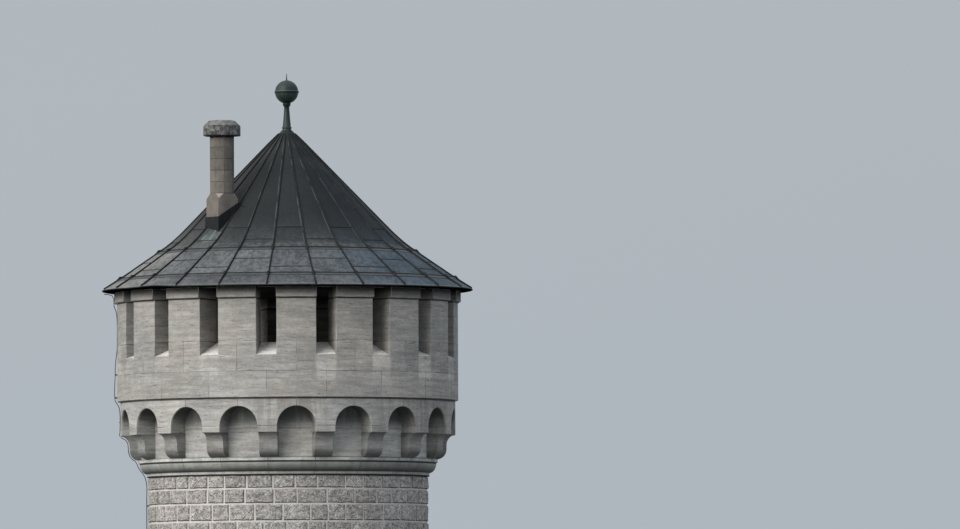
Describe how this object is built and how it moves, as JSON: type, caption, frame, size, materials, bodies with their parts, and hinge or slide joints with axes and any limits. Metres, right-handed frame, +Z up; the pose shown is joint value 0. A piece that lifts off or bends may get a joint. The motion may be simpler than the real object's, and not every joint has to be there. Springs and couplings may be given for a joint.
{
  "type": "round stone tower with conical roof",
  "caption": "Round stone tower with a coursed shaft, blind arches on corbels, an embattled parapet, a bell-cast conical metal roof, a stone chimney and a ball finial.",
  "frame": {"origin": "centre of the tower's base, on the ground", "axes": "+Z up along the tower's axis; -Y is the front, with one crenel centred on it; +X to the right seen from the front; the chimney stands front left"},
  "size_m": [8.7132, 8.7132, 20.4883],
  "materials": {
    "rough_stone": "matte",
    "smooth_stone": "matte",
    "chimney_stone": "matte",
    "roof_metal": "matte",
    "finial_metal": "satin",
    "conductor_metal": "matte",
    "timber": "matte"
  },
  "bodies": {
    "root": {"shaft_wall_1": "rough_stone", "shaft_wall_2": "rough_stone", "shaft_wall_3": "rough_stone", "shaft_wall_4": "rough_stone", "shaft_wall_5": "rough_stone", "shaft_wall_6": "rough_stone", "cornice_1": "smooth_stone", "cornice_2": "smooth_stone", "cornice_3": "smooth_stone", "cornice_4": "smooth_stone", "cornice_5": "smooth_stone", "cornice_6": "smooth_stone", "corbel_wall_1": "smooth_stone", "corbel_wall_2": "smooth_stone", "corbel_wall_3": "smooth_stone", "corbel_wall_4": "smooth_stone", "corbel_wall_5": "smooth_stone", "corbel_wall_6": "smooth_stone", "arch_ring_1": "smooth_stone", "arch_ring_2": "smooth_stone", "arch_ring_3": "smooth_stone", "arch_ring_4": "smooth_stone", "arch_ring_5": "smooth_stone", "arch_ring_6": "smooth_stone", "parapet_1": "smooth_stone", "parapet_2": "smooth_stone", "parapet_3": "smooth_stone", "parapet_4": "smooth_stone", "parapet_5": "smooth_stone", "parapet_6": "smooth_stone", "gallery_floor": "timber", "wall_plate": "timber", "roof_eave": "roof_metal", "roof_skirt": "roof_metal", "roof_cone": "roof_metal", "chimney_flashing": "roof_metal", "chimney_stack": "chimney_stone", "chimney_base": "chimney_stone", "chimney_shaft": "chimney_stone", "chimney_cap": "chimney_stone", "finial_stem": "finial_metal", "finial_ball": "finial_metal", "finial_spike": "finial_metal", "lightning_conductor": "conductor_metal"}
  },
  "joints": []
}
